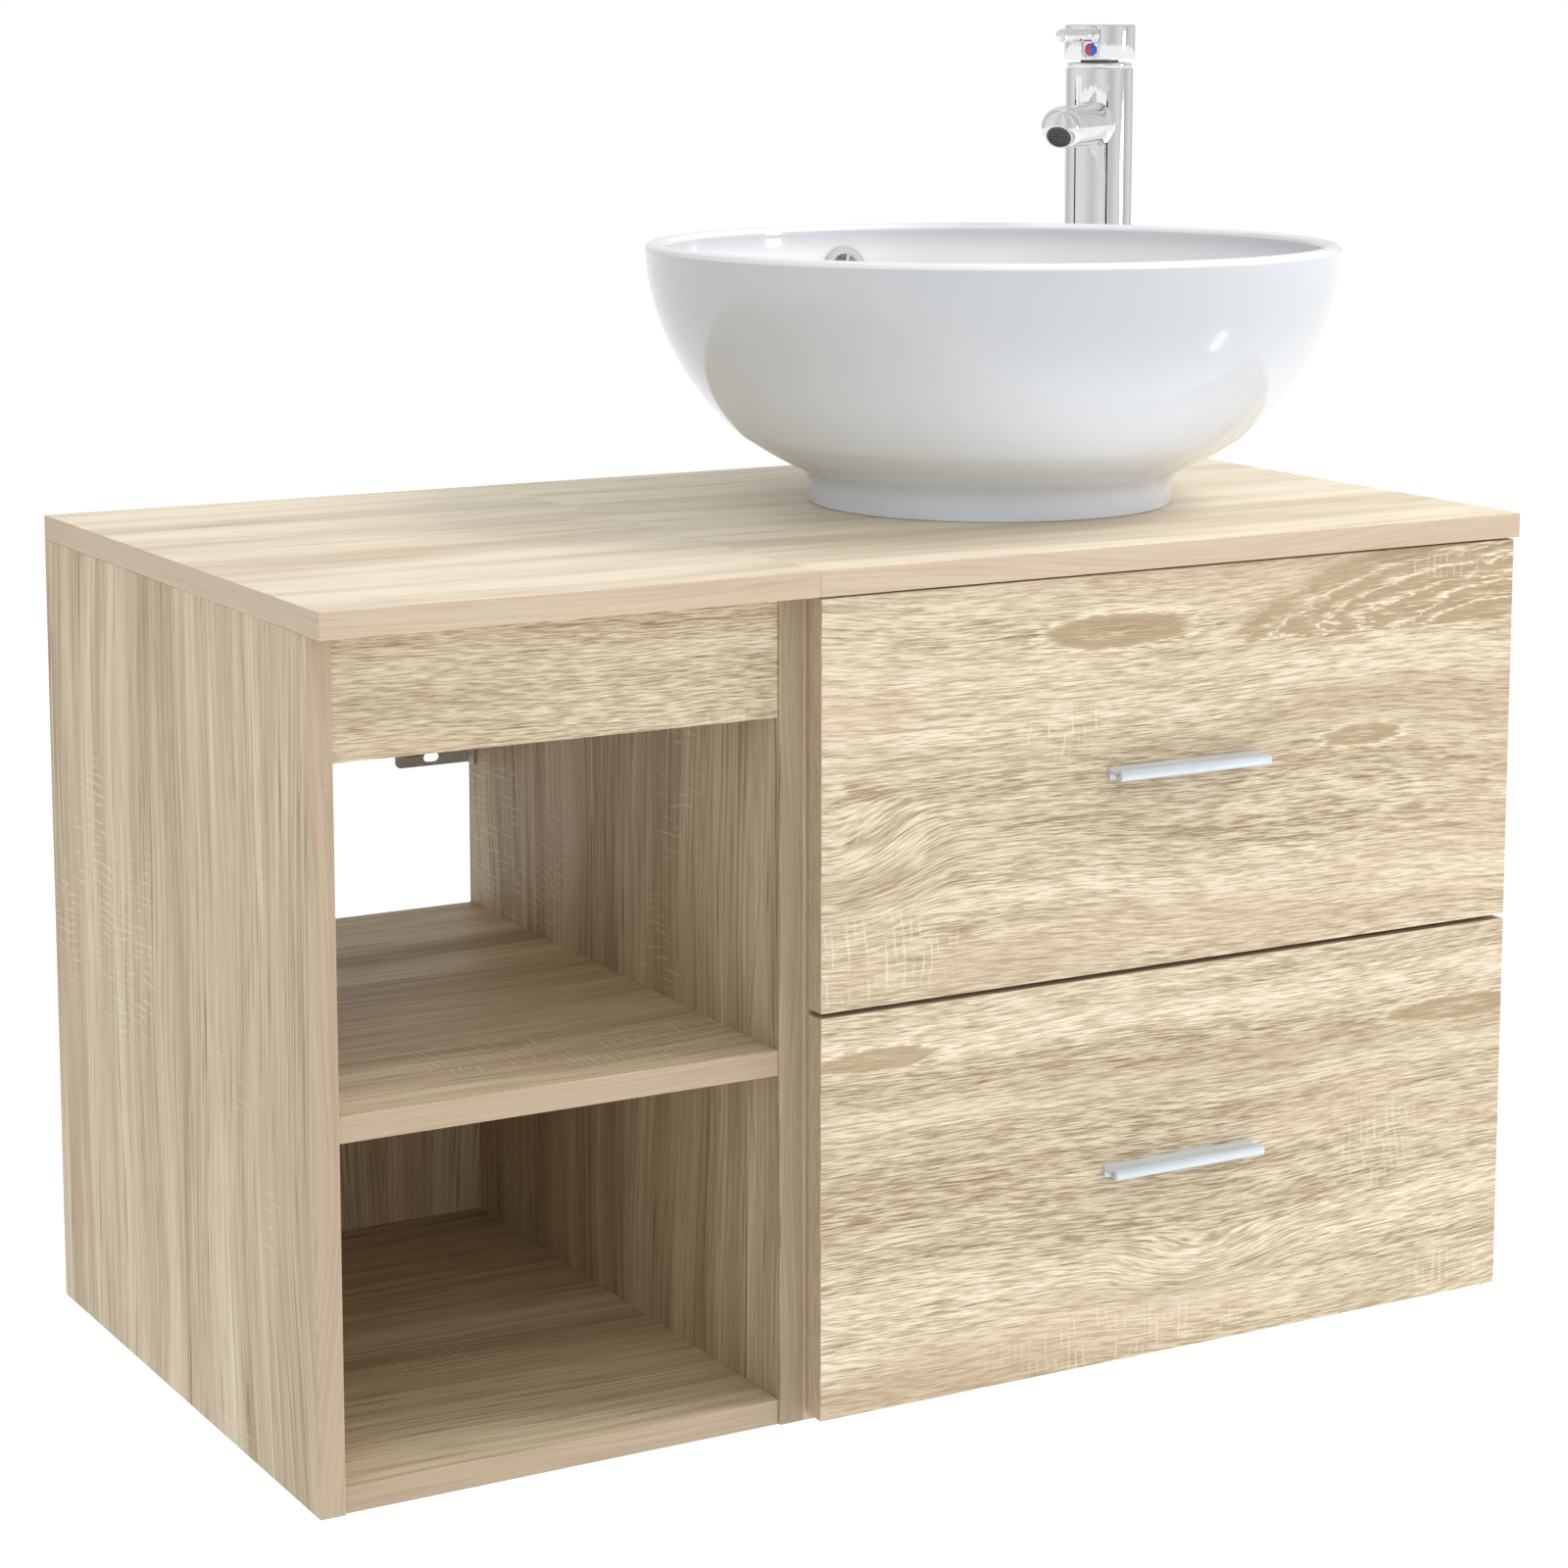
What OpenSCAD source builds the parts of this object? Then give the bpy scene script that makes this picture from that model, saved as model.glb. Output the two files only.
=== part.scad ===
// Wall-hung vanity with an open shelf module, a two-drawer cabinet, a round vessel basin and a tall mixer.
// Origin: on the wall plane, midway between the drawer cabinet's four wall slots.
// +X to the right seen from the room, +Y into the wall, +Z up. Millimetres.

/* [Carcass] */
// Width of the open shelf module
shelf_w = 300; // [260:10:400]
// Width of the drawer cabinet
cabinet_w = 500; // [480:10:600]
// Depth of the worktops from the wall
top_d = 440; // [430:5:480]
// Height from the lower edges of the panels to the top of the worktops
body_h = 500; // [500:10:560]
// Thickness of the boards
board = 15; // [14:1:18]
// How far the panels stand back from the front edge of the worktops
setback = 20; // [18:1:30]
// Height of the apron rail and the rear rails
rail_h = 70; // [60:5:80]
// Height of the worktops above the wall slots
top_z = 155; // [150:5:170]

/* [Drawers] */
// Thickness of the drawer fronts
front_t = 15; // [12:1:18]
// Gap between the two drawer fronts
front_gap = 3; // [2:0.5:4]
// Thickness of the drawer box boards
box_t = 12; // [10:1:15]
// Depth of the drawer boxes
box_d = 330; // [310:5:335]
// Length of the slides, and the travel of the drawers
slide_len = 300; // [250:50:300]
// Length of the handles
handle_len = 108; // [106:2:160]
// Distance between the handle screws
handle_pitch = 96; // [64:32:96]
// How far the handles stand out from the fronts
handle_out = 15; // [14:1:25]

/* [Basin] */
// Radius of the bowl at its rim
bowl_r = 219; // [200:1:219]
// Height of the rim above the worktop
bowl_h = 164; // [150:1:180]
// Radius of the foot ring
foot_r = 115; // [100:1:125]
// Distance from the wall to the centre of the bowl
bowl_y = 221; // [221:1:230]
// Direction of the overflow hole, in degrees from +X
overflow_angle = 87; // [60:1:120]

/* [Mixer] */
// Distance of the mixer to the right of the basin
mixer_x = 197; // [190:1:205]
// Distance of the mixer from the wall
mixer_y = 49; // [45:1:55]
// Height of the mixer above the worktop
mixer_h = 298.5; // [280:0.5:320]
// Radius of the mixer's body
mixer_r = 23.2; // [22:0.1:24]
// Reach from the mixer's axis to the ball end of the spout
spout_reach = 95; // [80:1:120]
// Reach from the mixer's axis to the tip of the lever
lever_reach = 102; // [60:1:110]

/* [Hidden] */

$fn = 64;
eps = 0.01;
oak = [0.83, 0.75, 0.61];
oak_edge = [0.79, 0.69, 0.56];
birch = [0.86, 0.8, 0.68];
zinc = [0.66, 0.67, 0.68];
satin = [0.8, 0.83, 0.87];
chrome = [0.86, 0.87, 0.88];
glaze = [0.93, 0.93, 0.92];
rubber = [0.12, 0.12, 0.12];
plastic = [0.92, 0.92, 0.9];

// Carcass planes
shelf_x = -cabinet_w / 2 - shelf_w;
cabinet_x = -cabinet_w / 2;
under = top_z - board;
feet = top_z - body_h;
panel_h = under - feet;
panel_d = top_d - setback;
reveal = 2;
shelf_in = shelf_w - 2 * board;
cabinet_in = cabinet_w - 2 * board;
bay_h = (panel_h - rail_h - 2 * board) / 2;
back_t = 12;
stretcher_d = 70;

// Boards as [corner, size]
shelf_left_b = [[shelf_x, -panel_d, feet], [board, panel_d, panel_h]];
shelf_right_b = [[cabinet_x - board, -panel_d, feet], [board, panel_d, panel_h]];
cabinet_left_b = [[cabinet_x, -panel_d, feet], [board, panel_d, panel_h]];
cabinet_right_b = [[-cabinet_x - board, -panel_d, feet], [board, panel_d, panel_h]];
shelf_bottom_b = [[shelf_x + board, reveal - panel_d, feet], [shelf_in, panel_d - reveal, board]];
shelf_middle_b = [[shelf_x + board, reveal - panel_d, feet + board + bay_h],
    [shelf_in, panel_d - reveal, board]];
shelf_front_rail_b = [[shelf_x + board, reveal - panel_d, under - rail_h], [shelf_in, board, rail_h]];
shelf_rear_rail_b = [[shelf_x + board, -board, under - rail_h], [shelf_in, board, rail_h]];
shelf_back_b = [[shelf_x + board, -back_t, feet + board], [shelf_in, back_t, bay_h]];
cabinet_bottom_b = [[cabinet_x + board, -panel_d, feet], [cabinet_in, panel_d, board]];
cabinet_front_rail_b = [[cabinet_x + board, -panel_d, under - board], [cabinet_in, stretcher_d, board]];
cabinet_rear_rail_b = [[cabinet_x + board, -board, under - rail_h], [cabinet_in, board, rail_h]];
flat_boards = [shelf_bottom_b, shelf_middle_b, cabinet_bottom_b];
upright_rails = [shelf_front_rail_b, shelf_rear_rail_b, cabinet_rear_rail_b];

// Dowels and cam locks
dowel_d = 8;
dowel_in = 20;
dowel_out = 10;
cam_d = 15;
cam_h = 12.5;
cam_in = 34;
cam_bolt_d = 6;
dowel_inset = 40;
cam_inset = 90;
rail_offset = 18;

// Wall brackets
plate_w = 53;
plate_h = 55;
steel_t = 2;
slot_x = 27.5;
corner_r = 4;
lip_w = 9;
slot_z = 22;
slot_len = 11;
slot_r = 3;
arm_d = 77;
arm_z = [-17, -3];
bracket_screw_z = 13;
bracket_screw_y = [-25, -60];
bracket_spots = [[shelf_x + board, 1], [cabinet_x - board, -1], [cabinet_x + board, 1],
    [-cabinet_x - board, -1]];

// Drawers
front_back = 2;
side_gap = 2;
top_gap = 1.5;
foot_gap = 4.5;
front_h = (panel_h - top_gap - front_gap - foot_gap) / 2;
front_w = cabinet_w - 2 * side_gap;
front_y = -panel_d - front_back;
upper_z = under - top_gap - front_h;
lower_z = upper_z - front_gap - front_h;
box_lift = 15;
base_t = 5;
upper_side_h = 180;
lower_side_h = 160;
slide_t = 12.7;
box_w = cabinet_in - 2 * slide_t;
box_rear = front_y + box_d;
notch_w = 110;
notch_y = -bowl_y - 50;
slide_front = -panel_d + 2;
slide_lift = 30;
slide_skin = 1.2;
handle_rise = 4.5;
screw_r = 2;

// Basin and waste, heights measured from the top of the worktop
rim_t = 12;
lip_h = 4;
bowl_sag = 181.8;
bowl_lift = 3.6;
inner_sag = 120;
drain_r = 23;
drain_hole_r = 24;
mixer_hole_r = 17.5;
seat_z = 40;
tail_r = 20;
trap_z = -95;

// Mixer, heights measured from the top of the worktop
spout_angle = atan2(mixer_y - bowl_y, -mixer_x);
spout_z = mixer_h - 68;
body_top = mixer_h - 29.5;
cap_r = 24.3;
cap_z = mixer_h - 24;
lever_z = mixer_h - 7;
pivot_z = mixer_h - 36.5;
spout_r = 14.3;
aerator_tip = 34;
aerator_off = 11;

// Points of an ellipse from angle a0 to a1
function arc(cx, cy, rx, ry, a0, a1, n) =
    [for (i = [0:n]) let (a = a0 + (a1 - a0) * i / n) [cx + rx * cos(a), cy + ry * sin(a)]];

// Points of a curve from p to r that leaves and arrives towards q
function bend(p, q, r, n) =
    [for (i = [0:n]) let (t = i / n) (1 - t) * (1 - t) * p + 2 * t * (1 - t) * q + t * t * r];

module block(b) translate(b[0]) cube(b[1]);

// Cylinder along X, Y or Z from a point
module rod_x(p, r, len) translate(p) rotate([0, 90, 0]) cylinder(h = len, r = r);
module rod_y(p, r, len) translate(p) rotate([-90, 0, 0]) cylinder(h = len, r = r);
module rod_z(p, r, len) translate(p) cylinder(h = len, r = r);

// Ring with a bore
module tube(r, bore, h) difference() {
    cylinder(h = h, r = r);
    translate([0, 0, -1]) cylinder(h = h + 2, r = bore);
}

// Children at both ends of a board, +X pointing out through the end
module at_ends(b, spots) for (s = spots) {
    translate([b[0].x + b[1].x, s.x, s.y]) children();
    translate([b[0].x, s.x, s.y]) mirror([1, 0, 0]) children();
}

// Places [y, z] of the dowels and of the cam locks at the ends of a board
function flat_spots(b, inset) =
    [for (y = [b[0].y + inset, b[0].y + b[1].y - inset]) [y, b[0].z + b[1].z / 2]];
function rail_spot(b, rise) = [[b[0].y + b[1].y / 2, b[0].z + b[1].z / 2 + rise]];
function stretcher_spot(b, shift) = [[b[0].y + b[1].y / 2 + shift, b[0].z + b[1].z / 2]];

module dowel() rod_x([-dowel_in, 0, 0], dowel_d / 2, dowel_in + dowel_out);
module cam_bolt() rod_x([-cam_in, 0, 0], cam_bolt_d / 2, cam_in + dowel_out);
module cam_under() rod_z([-cam_in, 0, -board / 2], cam_d / 2, cam_h);
module cam_behind() rod_y([-cam_in, board / 2 - cam_h, 0], cam_d / 2, cam_h);

// All dowels: at the ends of the boards, and upright between the panels and the worktops
module all_dowels() {
    for (b = flat_boards) at_ends(b, flat_spots(b, dowel_inset)) dowel();
    for (b = upright_rails) at_ends(b, rail_spot(b, -rail_offset)) dowel();
    at_ends(cabinet_front_rail_b, stretcher_spot(cabinet_front_rail_b, -rail_offset)) dowel();
    for (b = [shelf_left_b, shelf_right_b, cabinet_left_b, cabinet_right_b])
        for (y = [-panel_d + dowel_inset, -dowel_inset - cam_inset])
            rod_z([b[0].x + board / 2, y, under - dowel_in], dowel_d / 2, dowel_in + dowel_out);
}

module all_cam_bolts() {
    for (b = flat_boards) at_ends(b, flat_spots(b, cam_inset)) cam_bolt();
    for (b = upright_rails) at_ends(b, rail_spot(b, rail_offset)) cam_bolt();
    at_ends(cabinet_front_rail_b, stretcher_spot(cabinet_front_rail_b, rail_offset)) cam_bolt();
}

module all_cams() {
    for (b = flat_boards) at_ends(b, flat_spots(b, cam_inset)) cam_under();
    for (b = upright_rails) at_ends(b, rail_spot(b, rail_offset)) cam_behind();
    at_ends(cabinet_front_rail_b, stretcher_spot(cabinet_front_rail_b, rail_offset)) cam_under();
}

// Children at the four wall brackets, +X pointing away from the panel
module at_brackets(spots) for (s = spots)
    translate([s[0], 0, 0]) mirror([s[1] < 0 ? 1 : 0, 0, 0]) children();

module bracket_screw() for (y = bracket_screw_y) {
    rod_x([steel_t, y, bracket_screw_z], 4, 2.2);
    rod_x([-12, y, bracket_screw_z], screw_r, 12 + steel_t);
}

// A board with the holes for every dowel, cam and screw that enters it
module drilled(b) difference() {
    block(b);
    all_dowels();
    all_cam_bolts();
    all_cams();
}

module drilled_panel(b) difference() {
    block(b);
    all_dowels();
    all_cam_bolts();
    at_brackets(bracket_spots) bracket_screw();
}

module shelf_worktop() color(oak) difference() {
    translate([shelf_x, -top_d, under]) cube([shelf_w, top_d, board]);
    all_dowels();
}
module cabinet_worktop() color(oak) difference() {
    translate([cabinet_x, -top_d, under]) cube([cabinet_w, top_d, board]);
    all_dowels();
    rod_z([0, -bowl_y, under - 1], drain_hole_r, board + 2);
    rod_z([mixer_x, -mixer_y, under - 1], mixer_hole_r, board + 2);
}
module shelf_left_panel() color(oak) drilled_panel(shelf_left_b);
module shelf_right_panel() color(oak) drilled_panel(shelf_right_b);
module cabinet_left_panel() color(oak) drilled_panel(cabinet_left_b);
module cabinet_right_panel() color(oak) drilled_panel(cabinet_right_b);
module shelf_bottom() color(oak) drilled(shelf_bottom_b);
module shelf_middle() color(oak) drilled(shelf_middle_b);
module shelf_front_rail() color(oak) drilled(shelf_front_rail_b);
module shelf_rear_rail() color(oak) drilled(shelf_rear_rail_b);
module shelf_back_panel() color(oak) block(shelf_back_b);
module cabinet_bottom() color(oak) drilled(cabinet_bottom_b);
module cabinet_front_rail() color(oak_edge) drilled(cabinet_front_rail_b);
module cabinet_rear_rail() color(oak_edge) drilled(cabinet_rear_rail_b);
module wood_dowels() color(birch) all_dowels();
module cam_locks() color(zinc) {
    difference() {
        all_cams();
        all_cam_bolts();
    }
    all_cam_bolts();
}

// Slotted hole through the wall plate
module wall_slot() {
    for (s = [-1, 1]) rod_y([s * (slot_len / 2 - slot_r), -steel_t - 1, 0], slot_r, steel_t + 2);
    translate([slot_r - slot_len / 2, -steel_t - 1, -slot_r])
        cube([slot_len - 2 * slot_r, steel_t + 2, 2 * slot_r]);
}

// Wall plate with two slots and rounded free corners, an arm on the side panel with a turned-in lower lip
module bracket() difference() {
    union() {
        rotate([90, 0, 0]) linear_extrude(height = steel_t) {
            translate([0, -plate_h / 2]) square([plate_w - corner_r, plate_h]);
            translate([0, corner_r - plate_h / 2]) square([plate_w, plate_h - 2 * corner_r]);
            for (s = [-1, 1]) translate([plate_w - corner_r, s * (plate_h / 2 - corner_r)]) circle(r = corner_r);
        }
        rotate([90, 0, 90]) linear_extrude(height = steel_t)
            polygon([[0, -plate_h / 2], [0, plate_h / 2], [-arm_d, plate_h / 2], [-arm_d, arm_z[1]],
                [-12, arm_z[0]], [-12, -plate_h / 2]]);
        rotate([90, 0, 90]) linear_extrude(height = lip_w)
            polygon([[-12, arm_z[0]], [-arm_d, arm_z[1]], [-arm_d, arm_z[1] + steel_t],
                [-12, arm_z[0] + steel_t]]);
    }
    for (s = [-1, 1]) translate([slot_x, 0, s * slot_z]) wall_slot();
    bracket_screw();
}
module shelf_brackets() color(zinc) at_brackets([bracket_spots[0], bracket_spots[1]]) bracket();
module cabinet_brackets() color(zinc) at_brackets([bracket_spots[2], bracket_spots[3]]) bracket();
module bracket_screws() color(zinc) at_brackets(bracket_spots) bracket_screw();

// Drawer front, z at its lower edge, drilled for the handle screws
module drawer_front(z) difference() {
    translate([-front_w / 2, front_y - front_t, z]) cube([front_w, front_t, front_h]);
    for (s = [-1, 1])
        rod_y([s * handle_pitch / 2, front_y - front_t - 1, z + front_h / 2], screw_r + 0.2, front_t + 2);
}
module box_sides(z, h) for (s = [-1, 1])
    translate([s * (box_w - box_t) / 2 - box_t / 2, front_y, z + box_lift + base_t]) cube([box_t, box_d, h]);

module upper_front() color(oak) drawer_front(upper_z);
module lower_front() color(oak) drawer_front(lower_z);
module upper_sides() color(oak) box_sides(upper_z, upper_side_h);
module lower_sides() color(oak) box_sides(lower_z, lower_side_h);
module upper_rear_boards() color(oak) {
    w = (box_w - notch_w) / 2 - 2 * box_t;
    for (s = [-1, 1])
        translate([s * (notch_w / 2 + box_t + w / 2) - w / 2, box_rear - box_t, upper_z + box_lift + base_t])
            cube([w, box_t, upper_side_h]);
}
module upper_notch_boards() color(oak) {
    z = upper_z + box_lift + base_t;
    for (s = [-1, 1])
        translate([s * (notch_w + box_t) / 2 - box_t / 2, notch_y, z])
            cube([box_t, box_rear - notch_y, upper_side_h]);
    translate([-notch_w / 2 - box_t, notch_y - box_t, z]) cube([notch_w + 2 * box_t, box_t, upper_side_h]);
}
module upper_bottom() color(birch) difference() {
    translate([-box_w / 2, front_y, upper_z + box_lift]) cube([box_w, box_d, base_t]);
    translate([-notch_w / 2, notch_y, upper_z + box_lift - 1]) cube([notch_w, box_d, base_t + 2]);
}
module lower_rear() color(oak)
    translate([box_t - box_w / 2, box_rear - box_t, lower_z + box_lift + base_t])
        cube([box_w - 2 * box_t, box_t, lower_side_h]);
module lower_bottom() color(birch)
    translate([-box_w / 2, front_y, lower_z + box_lift]) cube([box_w, box_d, base_t]);

// Handle section: x away from the front, y up from the top edge; a web, a dished top and a rounded lip
handle_section = concat(
    [[0, -7.5], [0, 0]],
    bend([0.8, 0], [4.6, -2.8], [handle_out - 4.5, -1.7], 8),
    arc(handle_out - 2.3, -3.5, 2.3, 3.3, 120, -180, 18),
    [[handle_out - 4.6, -3.9], [2.6, -3.9], [2.6, -7.5]]);

module handle(z) difference() {
    translate([-handle_len / 2, front_y - front_t, z + front_h / 2 + handle_rise])
        rotate([90, 0, 90]) linear_extrude(height = handle_len) mirror([1, 0]) polygon(handle_section);
    handle_screws(z);
}
module handle_bosses(z) for (s = [-1, 1])
    rod_y([s * handle_pitch / 2, front_y - front_t - 9, z + front_h / 2], 3, 9);
module handle_screws(z) for (s = [-1, 1]) {
    rod_y([s * handle_pitch / 2, front_y, z + front_h / 2], 4, 2.4);
    rod_y([s * handle_pitch / 2, front_y - front_t - 7, z + front_h / 2], screw_r, front_t + 7);
}
module bar_handle(z) difference() {
    union() {
        handle(z);
        handle_bosses(z);
    }
    handle_screws(z);
}
module upper_handle() color(satin) bar_handle(upper_z);
module lower_handle() color(satin) bar_handle(lower_z);
module upper_handle_screws() color(zinc) handle_screws(upper_z);
module lower_handle_screws() color(zinc) handle_screws(lower_z);

// One slide member on each side: a web at web_x and two lips from lip_x0 to lip_x1, x from the panel
module slide_pair(z, web_x, lip_x0, lip_x1, half) for (s = [0, 1]) mirror([s, 0, 0])
    translate([-cabinet_in / 2, slide_front + slide_len, z + box_lift + base_t + slide_lift])
        rotate([90, 0, 0]) linear_extrude(height = slide_len) {
            translate([web_x, -half]) square([slide_skin, 2 * half]);
            for (y = [-half, half - slide_skin]) translate([lip_x0, y]) square([lip_x1 - lip_x0, slide_skin]);
        }
module outer_pair(z) slide_pair(z, 0, 0, 8, 22.5);
module middle_pair(z) slide_pair(z, 5, 2.4, 10, 19);
module inner_pair(z) slide_pair(z, slide_t - slide_skin, 7.6, slide_t, 15.5);
module upper_slide_outer() color(zinc) outer_pair(upper_z);
module upper_slide_middle() color(zinc) middle_pair(upper_z);
module upper_slide_inner() color(zinc) inner_pair(upper_z);
module lower_slide_outer() color(zinc) outer_pair(lower_z);
module lower_slide_middle() color(zinc) middle_pair(lower_z);
module lower_slide_inner() color(zinc) inner_pair(lower_z);

// Children on the basin's axis, z from the top of the worktop
module on_drain() translate([0, -bowl_y, top_z]) children();

// Outside of the bowl, from the foot to the lip
lip_z = bowl_h - lip_h;
sag_z = bowl_h + bowl_lift;
outer_a = bowl_r / cos(asin((sag_z - lip_z) / bowl_sag));
turn = -asin((sag_z - 44) / bowl_sag);
bowl_section = concat(
    [[drain_r, 0], [34, 0], [34, 20], [86, 20], [foot_r - 16, 12], [foot_r - 13, 0], [foot_r - 1, 0],
        [foot_r, 1]],
    bend([foot_r, 12], [foot_r + 0.5, 17], [120, 20.4], 5),
    bend([121.5, 21.4], [142, 31.5], [outer_a * cos(turn), 44], 5),
    arc(0, sag_z, outer_a, bowl_sag, turn + 2, -asin((sag_z - lip_z) / bowl_sag), 22),
    arc(bowl_r - rim_t / 2, lip_z, rim_t / 2, lip_h, 15, 165, 10),
    arc(0, lip_z, bowl_r - rim_t, inner_sag, 0, -80, 30),
    [[34, seat_z + 2], [33, seat_z], [drain_r, seat_z]]);

// Overflow channel between the bowl's skins, from the hole down to the drain
channel_in = [bowl_r - rim_t + 5, inner_sag + 5];
channel_out = [bowl_r - 2.5, inner_sag + 12];
channel_section = concat(
    arc(0, lip_z, channel_in.x, channel_in.y, -7, -83.5, 24),
    [[drain_r - 1, seat_z - 2.5], [drain_r - 1, seat_z - 9]],
    arc(0, lip_z, channel_out.x, channel_out.y, -83.5, -7, 24));
overflow_r = 11;
overflow_tip = 21;
bowl_split = 104;
overflow_spot = [bowl_r - rim_t - 5, lip_z - 25.5];

// Children at the overflow hole, +X pointing out through the wall
module at_overflow() rotate([0, 0, overflow_angle])
    translate([overflow_spot.x, 0, overflow_spot.y]) rotate([0, overflow_tip, 0]) children();

module bowl_shell() difference() {
    rotate_extrude($fn = 144) polygon(bowl_section);
    rotate([0, 0, overflow_angle - 6]) rotate_extrude(angle = 12, $fn = 144) polygon(channel_section);
    at_overflow() rod_x([-8, 0, 0], overflow_r, 16);
}
// One casting, kept as a lower bowl with its foot and an upper ring that meet in a level plane
module basin() color(glaze) on_drain() difference() {
    bowl_shell();
    rod_z([0, 0, bowl_split], bowl_r + 10, bowl_h);
}
module basin_rim() color(glaze) on_drain() difference() {
    bowl_shell();
    rod_z([0, 0, -10], bowl_r + 10, bowl_split + 10);
}

// Chrome ring with a sleeve in the overflow hole and a cross inside
module overflow_ring() color(chrome) on_drain() at_overflow() difference() {
    union() {
        rod_x([-3.4, 0, 0], 15, 1.4);
        rod_x([-2.2, 0, 0], overflow_r - 0.2, 6);
    }
    difference() {
        rod_x([-4, 0, 0], 9.6, 9);
        for (a = [20, 110]) rotate([a, 0, 0]) translate([-2.8, -1.1, -10]) cube([1.6, 2.2, 20]);
    }
}

module waste_body() color(chrome) on_drain() difference() {
    union() {
        rod_z([0, 0, seat_z + 1], 32, 2);
        rod_z([0, 0, trap_z + 4], tail_r, seat_z - trap_z - 3);
    }
    difference() {
        rod_z([0, 0, trap_z + 3], 17, seat_z - trap_z + 1);
        translate([-18, -2, 16]) cube([36, 4, 8]);
        rod_z([0, 0, 16], 7, 8);
    }
    rod_z([0, 0, 0], 4.05, 30);
    translate([-9, -25, seat_z - 9]) cube([18, 50, 7]);
    translate([-25, -9, seat_z - 9]) cube([50, 18, 7]);
}
module waste_gaskets() color(rubber) on_drain() {
    translate([0, 0, seat_z]) tube(31, tail_r + 0.1, 1);
    translate([0, 0, -board - 3]) tube(30, tail_r + 0.1, 3);
}
module waste_nut() color(plastic) on_drain() translate([0, 0, -board - 15]) difference() {
    cylinder(h = 12, r = 29);
    translate([0, 0, -1]) cylinder(h = 14, r = tail_r + 0.1);
    for (a = [0:30:330]) rotate([0, 0, a]) rod_z([30.5, 0, -1], 3, 14);
}
module waste_plug() color(chrome) on_drain() {
    rotate_extrude() polygon(concat([[0, seat_z - 34], [4, seat_z - 34], [4, seat_z + 3.3], [30, seat_z + 3.3]],
        arc(0, seat_z + 3.8, 30, 4.5, 0, 90, 12)));
}

// Bottle trap: head with inlet neck, dip tube and side outlet
module trap_head() color(plastic) on_drain() translate([0, 0, trap_z]) difference() {
    union() {
        rod_z([0, 0, -40], 31, 40);
        rod_z([0, 0, -85], 17, 46);
        rod_z([0, 0, 0], 24, 22);
        rod_y([0, 20, -18], 20, 34);
    }
    difference() {
        rod_z([0, 0, -41], 28, 38);
        rod_z([0, 0, -41], 17, 38);
    }
    rod_z([0, 0, -86], 14.5, 88);
    rod_z([0, 0, 1], tail_r + 0.1, 22);
    rod_y([0, 22, -18], 16.1, 34);
}
module trap_cup() color(plastic) on_drain() translate([0, 0, trap_z - 40]) difference() {
    rotate_extrude() polygon(concat([[0, 0], [33, 0], [33, -16], [31, -18]],
        arc(11, -64, 20, 20, 0, -90, 8), [[0, -84]]));
    rotate_extrude() polygon(concat([[0, 1], [28, 1], [28, -18]],
        arc(10, -64, 18, 17, 0, -90, 8), [[0, -81]]));
}
// Slip nut over a neck, closing to the tail at its far end
module slip_nut(r, neck_r, tail, h) difference() {
    cylinder(h = h, r = r);
    translate([0, 0, -1]) cylinder(h = h - 1.9, r = neck_r);
    translate([0, 0, -1]) cylinder(h = h + 2, r = tail);
    for (a = [0:30:330]) rotate([0, 0, a]) rod_z([r + 1.2, 0, -1], 2.4, h + 2);
}
module trap_nuts() color(plastic) on_drain() translate([0, 0, trap_z]) {
    translate([0, 0, 4]) slip_nut(29, 24.1, tail_r + 0.15, 21);
    translate([0, 36, -18]) rotate([-90, 0, 0]) slip_nut(25, 20.1, 16.1, 21);
}
module trap_pipe() color(plastic) translate([0, 0, top_z + trap_z - 18]) difference() {
    union() {
        rod_y([0, -bowl_y + 40, 0], 15.4, 30);
        rod_y([0, -bowl_y + 58, 0], 16, bowl_y - 58);
    }
    rod_y([0, -bowl_y, 0], 14.5, bowl_y + 1);
}

// Children on the mixer's axis, +X along the spout, z from the top of the worktop
module on_mixer() translate([mixer_x, -mixer_y, top_z]) rotate([0, 0, spout_angle]) children();

inlet_spot = [3, 8.5];
stud_x = -10.5;
module mixer_body() color(chrome) on_mixer() difference() {
    rotate_extrude() polygon(concat([[0, 0], [25.5, 0], [25.5, 3]],
        bend([25.5, 3], [mixer_r, 3.5], [mixer_r, 8], 5),
        [[mixer_r, body_top - 0.6], [mixer_r - 0.6, body_top], [0, body_top]]));
    rod_z([0, 0, 25], 19.5, body_top - 25 - 55);
    rod_z([0, 0, body_top - 45], 18, 46);
    rod_z([0, 0, body_top - 60], 8, 20);
    for (s = [-1, 1]) rod_z([inlet_spot.x, s * inlet_spot.y, -1], 4.5, 16);
    rod_z([stud_x, 0, -1], 4, 13);
    rod_x([10, 0, spout_z], 10.5, 20);
}

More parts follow.
